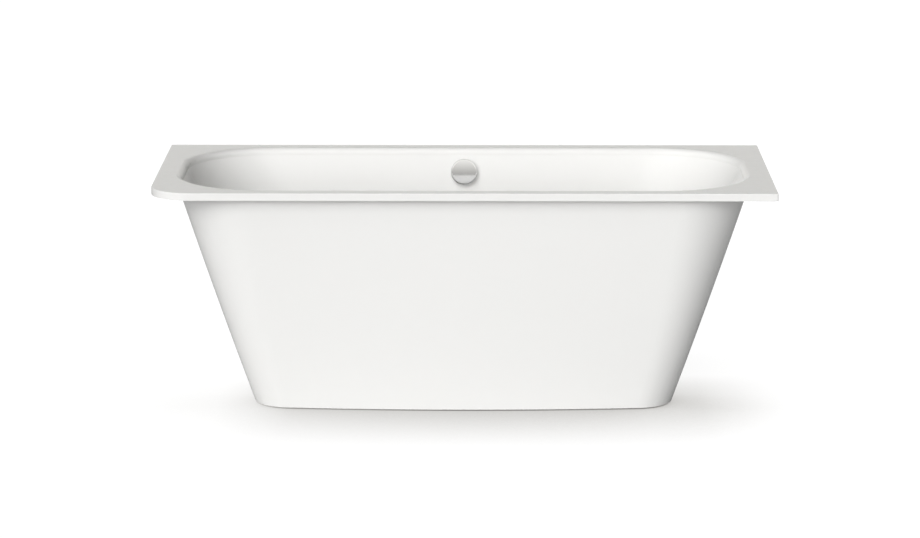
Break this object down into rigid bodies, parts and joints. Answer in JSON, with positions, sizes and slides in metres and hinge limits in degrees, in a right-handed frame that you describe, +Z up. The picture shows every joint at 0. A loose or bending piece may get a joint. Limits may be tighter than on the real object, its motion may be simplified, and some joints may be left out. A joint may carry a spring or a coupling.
{
  "type": "built-in bathtub",
  "caption": "White enamelled corner bathtub with a flat folded rim, oval basin, raked one-piece apron, foot frame and a pop-up waste worked by a round overflow knob.",
  "frame": {"origin": "on the floor, under the middle of the rim's rectangle", "axes": "+X along the tub to the side wall, +Y to the back wall, +Z up"},
  "size_m": [1.65, 0.75, 0.6],
  "materials": {
    "enamel": "gloss",
    "chrome": "polished",
    "foam": "matt",
    "zinc_steel": "galvanised",
    "black_plastic": "matt",
    "support_rubber": "matt",
    "bitumen": "matt",
    "seal_rubber": "matt",
    "brass": "turned",
    "pipe_plastic": "satin",
    "nut_plastic": "satin"
  },
  "bodies": {
    "tub": {"tub_shell": "enamel", "apron_shell": "enamel", "overflow_flange": "chrome", "waste_flange": "chrome", "apron_seal": "foam", "apron_clips": "zinc_steel", "front_apron_brackets": "zinc_steel", "end_apron_brackets": "zinc_steel", "apron_screws": "zinc_steel", "front_rail": "zinc_steel", "rear_rail": "zinc_steel", "left_cross_bar": "zinc_steel", "right_cross_bar": "zinc_steel", "thread_bushes": "zinc_steel", "lock_nuts": "zinc_steel", "back_wall_brackets": "zinc_steel", "side_wall_brackets": "zinc_steel", "earth_tag": "zinc_steel", "tube_end_caps": "black_plastic", "control_cable": "black_plastic", "floor_supports": "support_rubber", "front_sound_mats": "bitumen", "rear_sound_mats": "bitumen", "floor_sound_mats": "bitumen", "overflow_gasket": "seal_rubber", "waste_gasket": "seal_rubber", "trap_cap_seal": "seal_rubber", "overflow_housing": "pipe_plastic", "overflow_pipe": "pipe_plastic", "waste_body": "pipe_plastic", "trap_body": "pipe_plastic", "outlet_pipe": "pipe_plastic", "pipe_nuts": "nut_plastic", "trap_union_nut": "nut_plastic", "trap_cap": "nut_plastic", "outlet_nut": "nut_plastic"},
    "knob": {"overflow_knob": "chrome", "overflow_axle": "brass"},
    "plug": {"plug_cap": "chrome", "plug_seal": "seal_rubber", "plug_stem": "brass", "plug_lifter": "pipe_plastic"},
    "foot_front_left": {"foot_spindle_front_left": "zinc_steel", "foot_pad_front_left": "black_plastic"},
    "foot_front_right": {"foot_spindle_front_right": "zinc_steel", "foot_pad_front_right": "black_plastic"},
    "foot_rear_left": {"foot_spindle_rear_left": "zinc_steel", "foot_pad_rear_left": "black_plastic"},
    "foot_rear_right": {"foot_spindle_rear_right": "zinc_steel", "foot_pad_rear_right": "black_plastic"}
  },
  "joints": [
    {"name": "knob_turn", "type": "hinge", "parent": "tub", "child": "knob", "pos_m": [0, 0.31266, 0.533], "axis": [0, -0.9846, 0.1748], "range_deg": [0, 90]},
    {"name": "plug_lift", "type": "slide", "parent": "tub", "child": "plug", "axis": [0, 0, 1], "range_m": [0, 0.012]},
    {"name": "foot_front_left_level", "type": "slide", "parent": "tub", "child": "foot_front_left", "axis": [0, 0, -1], "range_m": [-0.012, 0.025]},
    {"name": "foot_front_right_level", "type": "slide", "parent": "tub", "child": "foot_front_right", "axis": [0, 0, -1], "range_m": [-0.012, 0.025]},
    {"name": "foot_rear_left_level", "type": "slide", "parent": "tub", "child": "foot_rear_left", "axis": [0, 0, -1], "range_m": [-0.012, 0.025]},
    {"name": "foot_rear_right_level", "type": "slide", "parent": "tub", "child": "foot_rear_right", "axis": [0, 0, -1], "range_m": [-0.012, 0.025]}
  ],
  "couplings": [
    {"joint": "plug_lift", "follows": "knob_turn", "m_per_rad": 0.007639}
  ]
}
